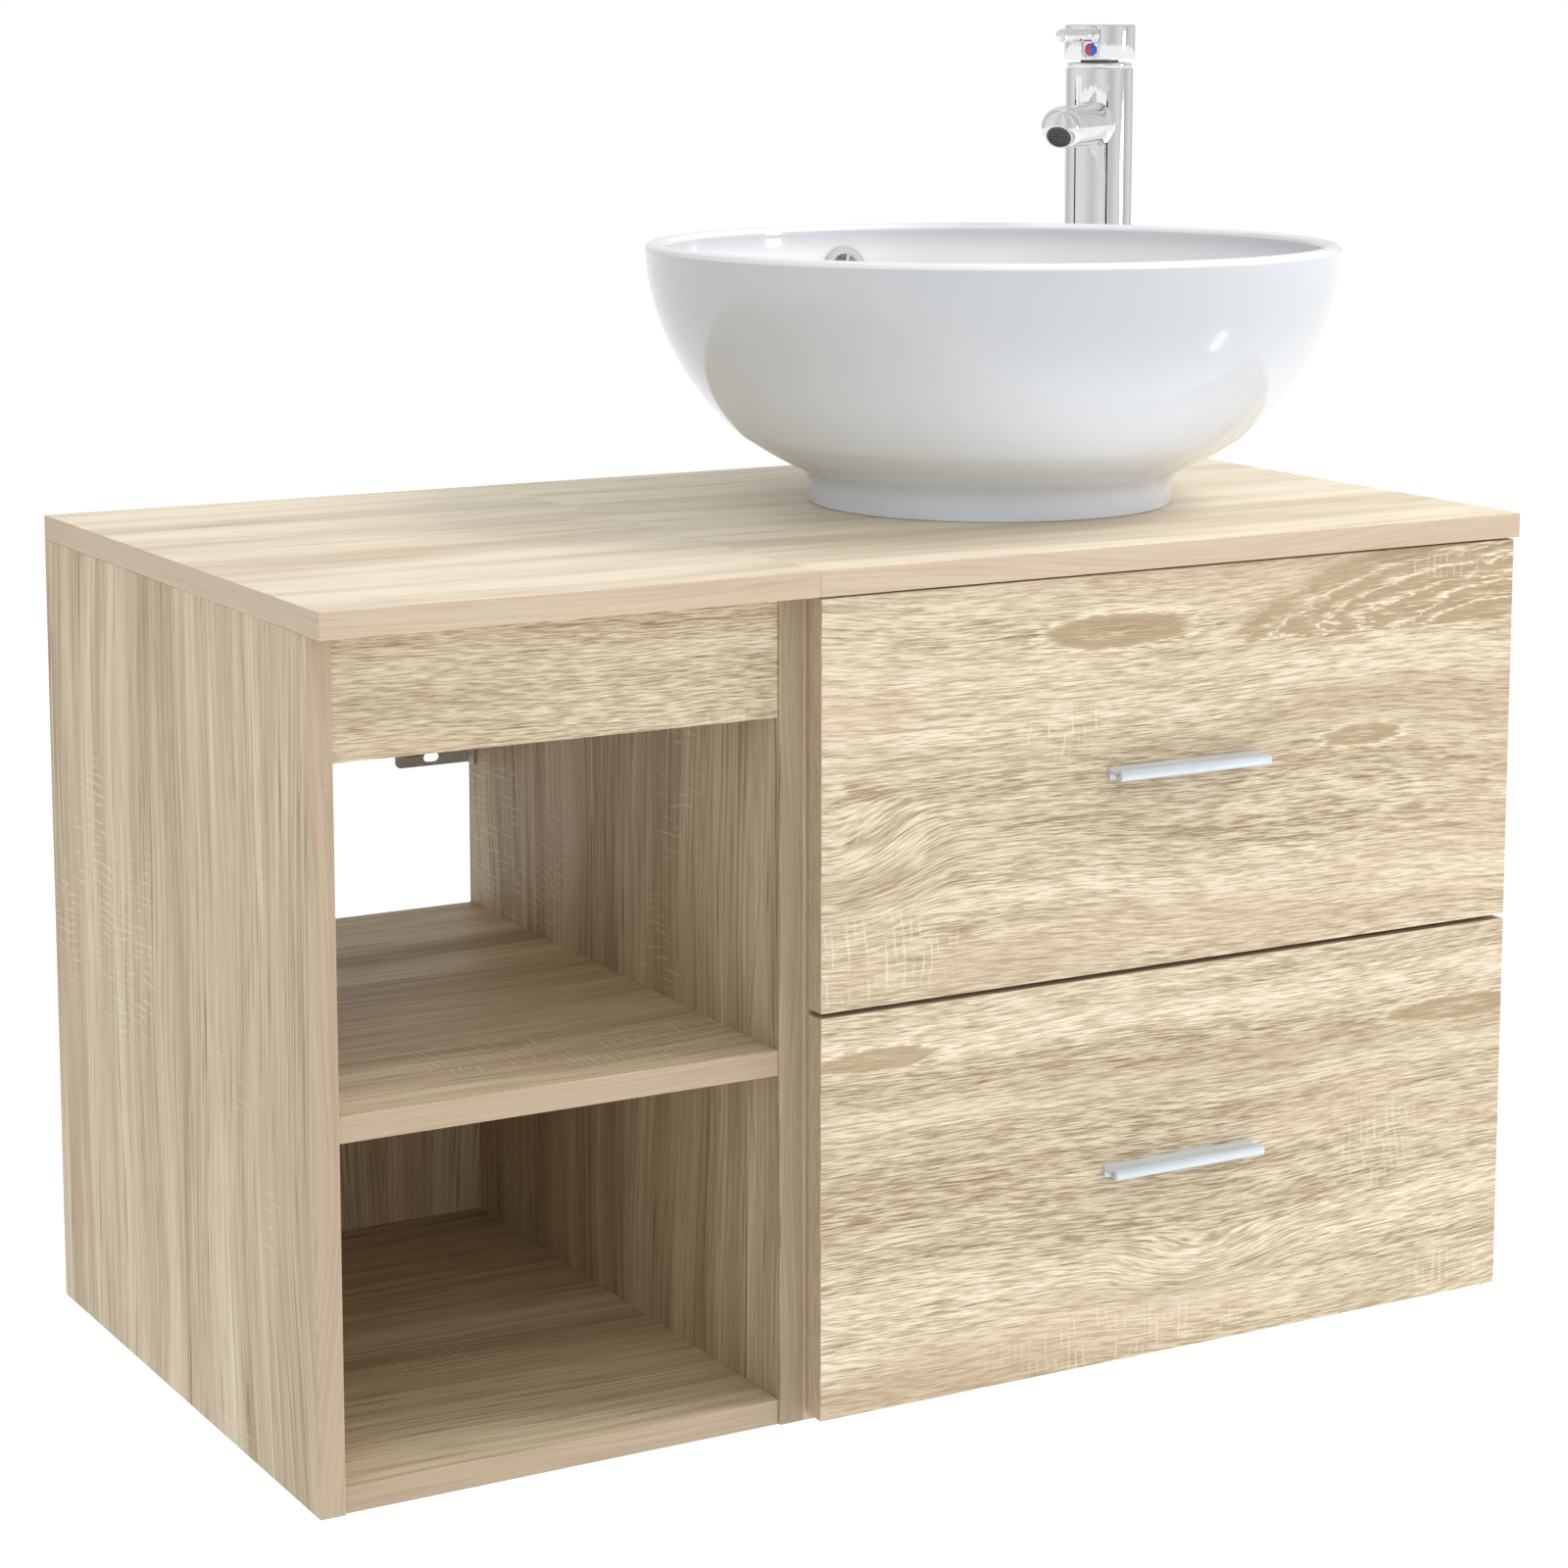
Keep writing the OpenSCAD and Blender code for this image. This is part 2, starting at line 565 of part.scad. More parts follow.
// Spout: a flared root, a straight tube and a ball end with a slanted mouth
module spout_solid() {
    translate([0, 0, spout_z]) rotate([0, 90, 0]) rotate_extrude() polygon(concat(
        [[0, mixer_r - 4], [16.6, mixer_r - 4], [16.6, mixer_r - 1]],
        bend([16.6, mixer_r - 1], [spout_r + 0.2, mixer_r + 2], [spout_r, mixer_r + 12], 6),
        [[spout_r, spout_reach], [0, spout_reach]]));
    translate([spout_reach, 0, spout_z]) sphere(r = spout_r);
}
module at_mouth() translate([spout_reach, 0, spout_z]) rotate([0, aerator_tip, 0])
    translate([aerator_off, 0, 0]) children();
module mixer_spout() color(chrome) on_mixer() difference() {
    spout_solid();
    rod_z([0, 0, 0], mixer_r + 0.05, body_top);
    rod_x([mixer_r - 6, 0, spout_z], 10, spout_reach - mixer_r + 6);
    at_mouth() translate([0, -20, -20]) cube([20, 40, 40]);
    at_mouth() rod_x([-12, 0, 0], 8.2, 13);
}
module mixer_aerator() color([0.3, 0.3, 0.31]) on_mixer() at_mouth() difference() {
    rod_x([-8, 0, 0], 8.1, 8.4);
    rod_x([-0.4, 0, 0], 6.8, 2);
    for (a = [0:45:135]) rotate([a, 0, 0]) translate([-1.2, -0.4, -6.4]) cube([2, 0.8, 12.8]);
}
module mixer_collar() color(chrome) on_mixer() translate([0, 0, body_top])
    rotate_extrude() polygon([[18.4, 0], [22.2, 0], [22.2, 2.8], [21.6, 3.5], [18.4, 3.5]]);
module mixer_cartridge() color(plastic) on_mixer() difference() {
    union() {
        rod_z([0, 0, body_top - 45], 17.4, 45);
        rod_z([0, 0, body_top], 13, 6.5);
    }
    rod_z([0, 0, pivot_z - 8], 9.6, 40);
    rod_z([0, 0, body_top - 46], 5, 12);
}

// Turns with the handle inside the cartridge; its slot lets the stem tip
module mixer_carrier() color(plastic) on_mixer() difference() {
    rod_z([0, 0, pivot_z - 7.5], 9.5, 21.5);
    difference() {
        translate([-10, -3.6, pivot_z - 4.8]) cube([20, 7.2, 20]);
        rod_y([0, -4, pivot_z], 1.15, 8);
    }
}
module mixer_stem() color(zinc) on_mixer() difference() {
    translate([-3, -3.5, pivot_z - 3.5]) cube([6, 7, mixer_h - 7 - pivot_z + 3.5]);
    translate([0, -4, pivot_z]) rotate([-90, 0, 0]) cylinder(h = 8, r = 1.2);
}
module mixer_cap() color(chrome) on_mixer() difference() {
    rotate_extrude() polygon([[0, cap_z + 1], [cap_r - 0.6, cap_z], [cap_r, cap_z + 0.6],
        [cap_r, mixer_h - 0.8], [cap_r - 0.8, mixer_h], [0, mixer_h]]);
    rod_z([0, 0, cap_z - 1], 21.5, 15.5);
    translate([-3.05, -3.55, cap_z]) cube([6.1, 7.1, 17.1]);
    rod_x([20, 0, lever_z], 2.6, 6);
    rod_x([cap_r - 1, 0, lever_z], 6.25, 3);
    rod_x([20, 0, mixer_h - 17], 4, 6);
}
module mixer_lever() color(chrome) on_mixer() translate([0, 0, lever_z]) rotate([0, 90, 0])
    rotate_extrude() polygon(concat([[0, 21.8], [2.5, 21.8], [2.5, cap_r - 0.9], [6.2, cap_r - 0.9],
        [6.2, cap_r + 1.2], [5.6, cap_r + 2.2], [4.4, cap_r + 2.8]],
        arc(0, lever_reach - 4.4, 4.4, 4.4, 0, 90, 8)));
module mixer_dot() color([0.75, 0.1, 0.15]) on_mixer() rod_x([21.6, 0, mixer_h - 17], 3.9, cap_r - 21.4);
module mixer_fixings() color(zinc) on_mixer() {
    rod_z([stud_x, 0, -60], 3.9, 71);
    translate([0, 0, -board - 3]) difference() {
        rod_z([0, 0, 0], 23, 3);
        translate([-3, -30, -1]) cube([40, 60, 5]);
        rod_z([stud_x, 0, -1], 4.2, 5);
    }
    translate([stud_x, 0, -board - 10]) difference() {
        cylinder(h = 7, r = 7.5, $fn = 6);
        translate([0, 0, -1]) cylinder(h = 9, r = 4);
    }
}

shelf_worktop();
shelf_left_panel();
shelf_right_panel();
shelf_bottom();
shelf_middle();
shelf_front_rail();
shelf_rear_rail();
shelf_back_panel();
cabinet_worktop();
cabinet_left_panel();
cabinet_right_panel();
cabinet_bottom();
cabinet_front_rail();
cabinet_rear_rail();
shelf_brackets();
cabinet_brackets();
bracket_screws();
wood_dowels();
cam_locks();
upper_front();
upper_sides();
upper_rear_boards();
upper_notch_boards();
upper_bottom();
upper_handle();
upper_handle_screws();
lower_front();
lower_sides();
lower_rear();
lower_bottom();
lower_handle();
lower_handle_screws();
upper_slide_outer();
upper_slide_middle();
upper_slide_inner();
lower_slide_outer();
lower_slide_middle();
lower_slide_inner();
basin();
basin_rim();
overflow_ring();
waste_body();
waste_gaskets();
waste_nut();
waste_plug();
trap_head();
trap_cup();
trap_nuts();
trap_pipe();
mixer_body();
mixer_spout();
mixer_aerator();
mixer_collar();
mixer_cartridge();
mixer_carrier();
mixer_stem();
mixer_cap();
mixer_lever();
mixer_dot();
mixer_fixings();
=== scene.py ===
"""Wall-hung vanity: open shelf module, two drawers, round vessel basin and tall mixer."""

import math

import bmesh
import bpy
from mathutils import Matrix, Vector

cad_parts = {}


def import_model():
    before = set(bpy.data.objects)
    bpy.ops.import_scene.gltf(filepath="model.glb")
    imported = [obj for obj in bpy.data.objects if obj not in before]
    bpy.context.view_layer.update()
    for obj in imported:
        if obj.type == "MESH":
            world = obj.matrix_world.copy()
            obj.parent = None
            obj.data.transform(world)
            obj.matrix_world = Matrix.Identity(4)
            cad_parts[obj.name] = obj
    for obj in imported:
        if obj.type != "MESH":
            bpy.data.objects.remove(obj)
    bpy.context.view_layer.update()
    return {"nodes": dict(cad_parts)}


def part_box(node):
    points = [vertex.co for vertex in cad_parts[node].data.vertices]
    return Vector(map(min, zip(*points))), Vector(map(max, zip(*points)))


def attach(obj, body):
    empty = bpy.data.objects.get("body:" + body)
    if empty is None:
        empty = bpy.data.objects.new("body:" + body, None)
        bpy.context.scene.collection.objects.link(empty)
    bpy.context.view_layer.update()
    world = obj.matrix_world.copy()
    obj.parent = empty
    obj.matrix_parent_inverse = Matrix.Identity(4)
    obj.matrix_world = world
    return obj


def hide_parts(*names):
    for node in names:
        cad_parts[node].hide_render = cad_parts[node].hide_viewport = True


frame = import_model()
nodes = frame["nodes"]
MM = 0.001


# ---------------------------------------------------------------- node graphs


class Graph:
    """A material's node graph, written as nested calls."""

    def __init__(self, name, **surface):
        self.material = bpy.data.materials.new(name)
        self.material.use_nodes = True
        self.tree = self.material.node_tree
        self.shader = self.tree.nodes["Principled BSDF"]
        self.coords = self.tree.nodes.new("ShaderNodeTexCoord")
        for key, value in surface.items():
            self.shader.inputs[key.replace("_", " ")].default_value = value

    def put(self, socket, value):
        if isinstance(value, bpy.types.NodeSocket):
            self.tree.links.new(value, socket)
        else:
            socket.default_value = value

    def math(self, operation, *values, clamp=False):
        n = self.tree.nodes.new("ShaderNodeMath")
        n.operation = operation
        n.use_clamp = clamp
        for socket, value in zip(n.inputs, values):
            self.put(socket, value)
        return n.outputs[0]

    def sum(self, *values):
        total = values[0]
        for v in values[1:]:
            total = self.math("ADD", total, v)
        return total

    def times(self, a, b):
        return self.math("MULTIPLY", a, b)

    def split(self, vector):
        n = self.tree.nodes.new("ShaderNodeSeparateXYZ")
        self.put(n.inputs[0], vector)
        return {"X": n.outputs[0], "Y": n.outputs[1], "Z": n.outputs[2]}

    def join(self, x, y, z):
        n = self.tree.nodes.new("ShaderNodeCombineXYZ")
        for socket, value in zip(n.inputs, (x, y, z)):
            self.put(socket, value)
        return n.outputs[0]

    def stretch(self, vector, scale):
        n = self.tree.nodes.new("ShaderNodeVectorMath")
        n.operation = "MULTIPLY"
        self.put(n.inputs[0], vector)
        n.inputs[1].default_value = scale
        return n.outputs[0]

    def noise(self, vector, scale=(1, 1, 1), detail=2.0, rough=0.5, distortion=0.0):
        n = self.tree.nodes.new("ShaderNodeTexNoise")
        self.put(n.inputs["Vector"], self.stretch(vector, scale))
        n.inputs["Scale"].default_value = 1.0
        n.inputs["Detail"].default_value = detail
        n.inputs["Roughness"].default_value = rough
        n.inputs["Distortion"].default_value = distortion
        return n.outputs["Fac"]

    def centred(self, value, factor):
        """Noise value about its middle, times factor."""
        return self.times(self.math("SUBTRACT", value, 0.5), factor)

    def distance(self, u, v, ellipse, shake, push):
        """Distance from the middle of an ellipse in half lengths, shaken by push along and across.
        ellipse is (along, across, half length, half height)."""
        along, across, half_u, half_v = ellipse
        du = self.times(self.math("SUBTRACT", u, along), 1 / half_u)
        dv = self.times(self.math("SUBTRACT", v, across), 1 / half_v)
        du = self.sum(du, self.times(shake, push[0]))
        dv = self.sum(dv, self.times(shake, push[1]))
        return self.math("SQRT", self.sum(self.times(du, du), self.times(dv, dv)))

    def spread(self, value, low, high, to_low=0.0, to_high=1.0):
        """Value from low..high to to_low..to_high, smoothly, held at the ends."""
        n = self.tree.nodes.new("ShaderNodeMapRange")
        n.interpolation_type = "SMOOTHSTEP"
        for socket, v in zip(n.inputs, (value, low, high, to_low, to_high)):
            self.put(socket, v)
        return n.outputs[0]

    def ramp(self, value, stops):
        """Colour at value, from stops that are (place, colour)."""
        n = self.tree.nodes.new("ShaderNodeValToRGB")
        self.put(n.inputs[0], value)
        points = n.color_ramp.elements
        while len(points) < len(stops):
            points.new(0.5)
        for point, (place, colour) in zip(points, stops):
            point.position = place
            point.color = (*colour, 1)
        return n.outputs[0]

    def mix(self, factor, a, b):
        n = self.tree.nodes.new("ShaderNodeMix")
        n.data_type = "RGBA"
        self.put(n.inputs[0], factor)
        for socket, v in ((n.inputs[6], a), (n.inputs[7], b)):
            self.put(socket, (*v, 1) if isinstance(v, tuple) else v)
        return n.outputs[2]

    def surface(self, colour, rough, height=None, depth=0.0, strength=0.0):
        """Finished material. depth is that of the relief in metres."""
        self.put(self.shader.inputs["Base Color"], colour)
        self.put(self.shader.inputs["Roughness"], rough)
        if height is not None:
            n = self.tree.nodes.new("ShaderNodeBump")
            n.inputs["Strength"].default_value = strength
            n.inputs["Distance"].default_value = depth
            self.put(n.inputs["Height"], height)
            self.put(self.shader.inputs["Normal"], n.outputs[0])
        return self.material


# ---------------------------------------------------------------- materials

# Tones of the oak decor, from the bottom of the pores to the cream highlights
OAK_TONES = (
    (0.08, (0.270, 0.190, 0.112)),
    (0.34, (0.440, 0.340, 0.215)),
    (0.52, (0.590, 0.482, 0.330)),
    (0.70, (0.715, 0.606, 0.438)),
    (0.95, (0.880, 0.790, 0.620)),
)
OAK_PINK = (0.62, 0.46, 0.33)
OAK_BROWN = (0.44, 0.33, 0.20)
OAK_CHALK = (0.88, 0.80, 0.64)
OAK_BAND = (0.52, 0.400, 0.285)
# Shifts per board, so that no two boards show the same piece of the pattern
SHIFT_ALONG, SHIFT_ACROSS, SHIFT_PLAIN, SHIFT_BENT = 0.731, 0.377, 1.9, 3.1
MID_TONE = 0.61
WAVE_RISE = 0.055
HILL_RISE = 0.42
# Noise cells per metre along and across the grain, for coarse strokes and fine fibres
EMBOSSED_STROKES = ((58, 1050), (120, 2400))
SMOOTH_STROKES = ((6, 620), (14, 1500))
# How far the raggedness moves the outline of year rings and of saw marks, in half lengths
RING_PUSH = (0.60, 0.40)
SPOT_PUSH = (1.4, 1.4)
SAW_LINES = 1180.0
SAW_WOBBLE = 26.0


def bend_fibres(g, u, v, drift, knots, shake):
    """Fibres' place across the grain with the knots' effect, and the ring count and mask of the
    ringed knots. Those without rings turn the fibres round them instead."""
    phase, near = 0.0, 0.0
    for *ellipse, rings, cut in knots:
        away = g.distance(u, v, ellipse, shake, RING_PUSH if rings else (0.0, 0.0))
        if rings:
            mask = g.math("GREATER_THAN", v, cut)
            rise = g.times(g.spread(away, 1.0, 0.0), mask)
            phase = g.math("ADD", phase, g.times(rise, rings))
            near = g.math("MAXIMUM", near, g.times(g.spread(away, 1.0, 0.80), mask))
        else:
            hill = g.math("SUBTRACT", 1.0, g.times(away, away), clamp=True)
            drift = g.math("ADD", drift, g.times(g.times(hill, hill), HILL_RISE * ellipse[3]))
    return drift, phase, near


def saw_marks(g, u, v, p, shake, spots):
    """Chalky lines across the grain, 5 mm apart, on the spots or else in a few places."""
    wobble = g.times(g.noise(p, (16, 12, 1), 2.0, 0.5), SAW_WOBBLE)
    comb = g.math("SINE", g.sum(g.times(u, SAW_LINES), wobble))
    broken = g.spread(g.noise(p, (210, 62, 1), 2.0, 0.5), 0.44, 0.58)
    where = 0.0 if spots else g.spread(g.noise(p, (4.4, 8.0, 3), 3.0, 0.55), 0.55, 0.66)
    for spot in spots:
        away = g.distance(u, v, spot, shake, SPOT_PUSH)
        where = g.math("MAXIMUM", where, g.spread(away, 1.0, 0.4))
    return g.times(g.times(g.spread(comb, 0.45, 0.95), broken), where)


def oak(name, seed, grain, normal, knots=(), marks=0.5, emboss=1.0, painted_light_shift=0.0, spots=()):
    """Oak decor. grain and normal are the axes that the grain runs along and the face looks along.
    knots are (along, across, half length, half height, rings, cut) in metres: rings is the number
    of year rings, 0 for a place that the fibres bend round, and below cut a ringed knot has no
    effect. marks is the strength of the saw marks and spots are their places, as (along, across,
    half length, half height). emboss is the depth of the short raised strokes, from 0 for smooth
    decor to 1. The lightness shift, given after emboss, is painted light and shade: it makes the
    whole board lighter, as on the worktops lit from above, or darker, as on boards turned from the
    light or in the shelf's shade."""
    g = Graph(name, Specular_IOR_Level=0.3)
    across = ({"X", "Y", "Z"} - {grain, normal}).pop()
    place = g.split(g.coords.outputs["Object"])
    facing = g.split(g.coords.outputs["Normal"])
    end = g.math("GREATER_THAN", g.math("ABSOLUTE", facing[grain]), 0.6)
    face = g.math("GREATER_THAN", g.math("ABSOLUTE", facing[normal]), 0.6)
    side = g.math("SUBTRACT", 1.0, end)
    u = g.sum(g.times(place[grain], side), g.times(place[across], end))
    v = g.sum(g.times(place[across], side), place[normal])
    shift = g.math("ADD", u, seed * SHIFT_ALONG)
    p = g.join(shift, g.math("ADD", v, seed * SHIFT_ACROSS), seed * SHIFT_PLAIN)

    # Long waves bend the fibres, and knots push them aside
    wave = g.noise(p, (2.4, 3.6, 1), 1.0, 0.5)
    shake = g.math("SUBTRACT", g.noise(p, (24, 90, 1), 3.0, 0.6), 0.5)
    drift = g.sum(v, g.times(wave, WAVE_RISE), seed * SHIFT_ACROSS)
    calm = g.join(shift, drift, seed * SHIFT_BENT)
    drift, phase, near = bend_fibres(g, u, v, drift, knots, shake)
    bent = g.join(shift, drift, seed * SHIFT_BENT)

    # Fibres, strokes and pores that follow the same waves
    streak = g.noise(calm, (1.5, 30, 1), 4.0, 0.6)
    coarse, fine = EMBOSSED_STROKES if emboss > 0.6 else SMOOTH_STROKES
    stroke = g.noise(bent, (*coarse, 1), 1.5, 0.55)
    fibre = g.noise(bent, (*fine, 1), 1.0, 0.6)
    pores = g.spread(g.noise(bent, (14, 300, 5), 2.0, 0.5), 0.60, 0.68)
    # The board's lightness shift is added here as painted light and shade
    tone = g.sum(
        MID_TONE + painted_light_shift,
        g.centred(streak, 1.0 - 0.15 * emboss),
        g.centred(stroke, 0.60),
        g.centred(g.spread(stroke, 0.38, 0.62), 0.24 * emboss),
        g.centred(fibre, 0.45 + 0.35 * emboss),
        g.times(pores, -0.18),
    )
    brown = g.times(g.spread(g.noise(calm, (1.9, 17, 1), 2.0, 0.5), 0.52, 0.72), 0.38)
    if any(rings for *_, rings, cut in knots):
        # Year rings: a jagged cream edge, then a brown that fades out
        ring = g.math("FRACT", g.math("ADD", phase, g.centred(stroke, 0.8)))
        edge = g.times(g.spread(ring, 0.0, 0.05), g.spread(ring, 0.24, 0.10))
        body = g.times(g.spread(ring, 0.14, 0.26), g.spread(ring, 1.10, 0.50))
        edge, body = g.times(edge, near), g.times(body, near)
        tone = g.sum(tone, g.times(edge, 0.26), g.times(body, -0.17))
        brown = g.math("MAXIMUM", brown, g.times(body, 0.80))
    warm = g.times(g.spread(g.noise(p, (3.1, 13, 7), 3.0, 0.5), 0.50, 0.74), 0.42)
    colour = g.mix(warm, g.ramp(tone, OAK_TONES), OAK_PINK)
    colour = g.mix(brown, colour, OAK_BROWN)
    sawn = g.times(saw_marks(g, u, v, p, shake, spots), face)
    colour = g.mix(g.times(sawn, marks), colour, OAK_CHALK)

    # Edge bands are a little pinker and calmer than the faces. On boards shifted darker their band
    # is darker still, as painted shade
    shade = 1 + 1.7 * min(painted_light_shift, 0.0)
    band = g.mix(0.70, colour, tuple(shade * c for c in OAK_BAND))
    colour = g.mix(face, band, colour)
    relief = g.sum(stroke, g.times(pores, -0.3), g.times(fibre, 0.4))
    rough = g.spread(tone, 0.2, 0.8, 0.60, 0.46)
    return g.surface(colour, rough, relief, 0.0002 + 0.0005 * emboss, 0.35 + 0.25 * emboss)


BIRCH_TONES = (
    (0.25, (0.50, 0.39, 0.26)),
    (0.50, (0.64, 0.53, 0.38)),
    (0.80, (0.74, 0.65, 0.50)),
)


def birch():
    g = Graph("birch", Specular_IOR_Level=0.3)
    p = g.coords.outputs["Object"]
    grain = g.noise(p, (5, 95, 95), 4, 0.6, 0.2)
    flecks = g.noise(p, (45, 600, 600), 2, 0.5)
    tone = g.sum(g.times(grain, 0.7), g.times(flecks, 0.3))
    colour = g.ramp(tone, BIRCH_TONES)
    return g.surface(colour, g.spread(grain, 0.2, 0.8, 0.6, 0.48), tone, 0.0003, 0.4)


GLAZE_OUTSIDE = (0.598, 0.624, 0.660)
# Painted light: lighter, bluer glaze low on the outside of the bowl
GLAZE_PAINTED_LOW_LIGHT = (0.820, 0.880, 0.985)
# Painted light: lighter glaze where it faces up, inside the bowl and on the rim
GLAZE_PAINTED_LIT_INSIDE = (0.875, 0.875, 0.880)
GLAZE_CLOUD = (0.54, 0.55, 0.56)
GLAZE_SPECK = (0.55, 0.54, 0.52)


def ceramic(foot, rim):
    """White glaze: gloss over a surface that is never quite even. Painted light makes it whiter
    where it faces up, inside the bowl and on the rim, and lighter and bluer low on the outside
    against the bowl's own shade and the worktop's warm bounce, from all of it at height foot to
    none at height rim."""
    g = Graph("glazed_ceramic", Coat_Weight=0.55, Coat_Roughness=0.03, Specular_IOR_Level=0.35)
    p = g.coords.outputs["Object"]
    cloud = g.noise(p, (7, 7, 7), 3, 0.5)
    speck = g.noise(p, (900, 900, 900), 1, 0.5)
    # Painted light towards the foot, against the bowl's shade and warm bounce
    painted_low_light = g.spread(g.split(p)["Z"], rim, foot)
    # Painted light where the glaze faces up
    inside = g.spread(g.split(g.coords.outputs["Normal"])["Z"], -0.02, 0.25)
    colour = g.mix(painted_low_light, GLAZE_OUTSIDE, GLAZE_PAINTED_LOW_LIGHT)
    colour = g.mix(inside, colour, GLAZE_PAINTED_LIT_INSIDE)
    colour = g.mix(g.spread(cloud, 0.3, 0.7, 0.0, 0.06), colour, GLAZE_CLOUD)
    colour = g.mix(g.times(g.spread(speck, 0.78, 0.84), 0.2), colour, GLAZE_SPECK)
    wave = g.sum(g.noise(p, (26, 26, 26), 2, 0.5), g.times(cloud, 2.0))
    return g.surface(colour, g.spread(cloud, 0.3, 0.7, 0.10, 0.14), wave, 0.0004, 0.22)


def chrome():
    g = Graph("chrome", Metallic=1.0)
    p = g.coords.outputs["Object"]
    film = g.noise(p, (38, 38, 14), 4, 0.6, 0.4)
    fine = g.noise(p, (420, 420, 90), 2, 0.5)
    colour = g.ramp(film, ((0.3, (0.80, 0.81, 0.825)), (0.7, (0.89, 0.895, 0.90))))
    rough = g.sum(g.spread(film, 0.35, 0.75, 0.035, 0.085), g.times(fine, 0.02))
    return g.surface(colour, rough, fine, 0.00003, 0.15)


def brushed(name, low, high, rough, along="X", metallic=1.0):
    """Metal with fine lines along one axis."""
    g = Graph(name, Metallic=metallic)
    scale = {"X": (9, 900, 900), "Y": (900, 9, 900), "Z": (900, 900, 9)}[along]
    p = g.coords.outputs["Object"]
    lines = g.noise(p, scale, 3, 0.6)
    cloud = g.noise(p, (60, 60, 60), 3, 0.5)
    tone = g.sum(g.times(lines, 0.6), g.times(cloud, 0.4))
    colour = g.ramp(tone, ((0.3, low), (0.7, high)))
    rough = g.spread(tone, 0.3, 0.7, rough + 0.07, rough - 0.04)
    return g.surface(colour, rough, lines, 0.00005, 0.3)


def galvanised(name, low, high, metallic):
    """Zinc plating: soft spangle with scattered scuffs."""
    g = Graph(name, Metallic=metallic)
    p = g.coords.outputs["Object"]
    cells = g.tree.nodes.new("ShaderNodeTexVoronoi")
    g.put(cells.inputs["Vector"], p)
    cells.inputs["Scale"].default_value = 260
    cloud = g.noise(p, (90, 90, 90), 4, 0.6)
    scuff = g.spread(g.noise(p, (300, 40, 300), 3, 0.7), 0.62, 0.72)
    tone = g.sum(g.times(cells.outputs["Distance"], 0.5), g.times(cloud, 0.6))
    colour = g.mix(g.times(scuff, 0.3), g.ramp(tone, ((0.25, low), (0.75, high))), high)
    return g.surface(colour, g.spread(cloud, 0.3, 0.7, 0.36, 0.50), tone, 0.00006, 0.3)


def plastic(name, low, high, rough, grain=700):
    """Moulded plastic with a faint texture and slight mottling."""
    g = Graph(name, Specular_IOR_Level=0.45)
    p = g.coords.outputs["Object"]
    cloud = g.noise(p, (30, 30, 30), 3, 0.5)
    skin = g.noise(p, (grain, grain, grain), 2, 0.5)
    tone = g.sum(g.times(cloud, 0.7), g.times(skin, 0.3))
    colour = g.ramp(tone, ((0.3, low), (0.7, high)))
    rough = g.spread(cloud, 0.3, 0.7, rough - 0.05, rough + 0.08)
    return g.surface(colour, rough, skin, 0.00008, 0.3)


def two_tone_dot(centre, sideways):
    """Red on one half and blue on the other, split across the sideways direction."""
    g = Graph("red_blue_dot", Coat_Weight=0.5, Coat_Roughness=0.1)
    p = g.coords.outputs["Object"]
    axis = g.split(p)
    along_x, along_y = g.times(axis["X"], sideways.x), g.times(axis["Y"], sideways.y)
    offset = g.sum(along_x, along_y, -centre.dot(sideways))
    cloud = g.noise(p, (500, 500, 500), 3, 0.5)
    red = g.ramp(cloud, ((0.3, (0.62, 0.03, 0.06)), (0.7, (0.76, 0.05, 0.08))))
    blue = g.ramp(cloud, ((0.3, (0.015, 0.10, 0.62)), (0.7, (0.02, 0.15, 0.76))))
    colour = g.mix(g.math("GREATER_THAN", offset, 0.0), red, blue)
    return g.surface(colour, g.spread(cloud, 0.3, 0.7, 0.25, 0.35), cloud, 0.00004, 0.2)


# ---------------------------------------------------------------- finishing the CAD nodes


WELD_GAP = 0.002 * MM
SHARP_EDGE = math.radians(34)


def dress(names, material, edge=0.4, flat=False):
    """Material, rounded edges and shading for CAD nodes. edge is the edge radius in mm, and flat
    boards keep their faces free of smooth shading."""
    for name in [names] if isinstance(names, str) else names:
        o = nodes[name]
        if not o.material_slots:
            o.data.materials.append(material)
        for s in o.material_slots:
            s.material = material
        for face in o.data.polygons:
            face.use_smooth = not flat
        weld = o.modifiers.new("weld", "WELD")
        weld.merge_threshold = WELD_GAP
        bevel = o.modifiers.new("edges", "BEVEL")
        bevel.width = edge * MM
        bevel.segments = 3
        bevel.limit_method = "ANGLE"
        bevel.angle_limit = SHARP_EDGE
        bevel.harden_normals = not flat
        bevel.use_clamp_overlap = False
        bevel.miter_outer = "MITER_ARC"


upper_low, upper_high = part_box("upper_front")
upper_w = upper_high.x - upper_low.x
upper_h = upper_high.z - upper_low.z
front_y = upper_low.y


def on_front(low, across, up):
    """Place on a drawer front as along and across, from shares of its width and height."""
    return low.x + across * upper_w, low.z + up * upper_h + front_y


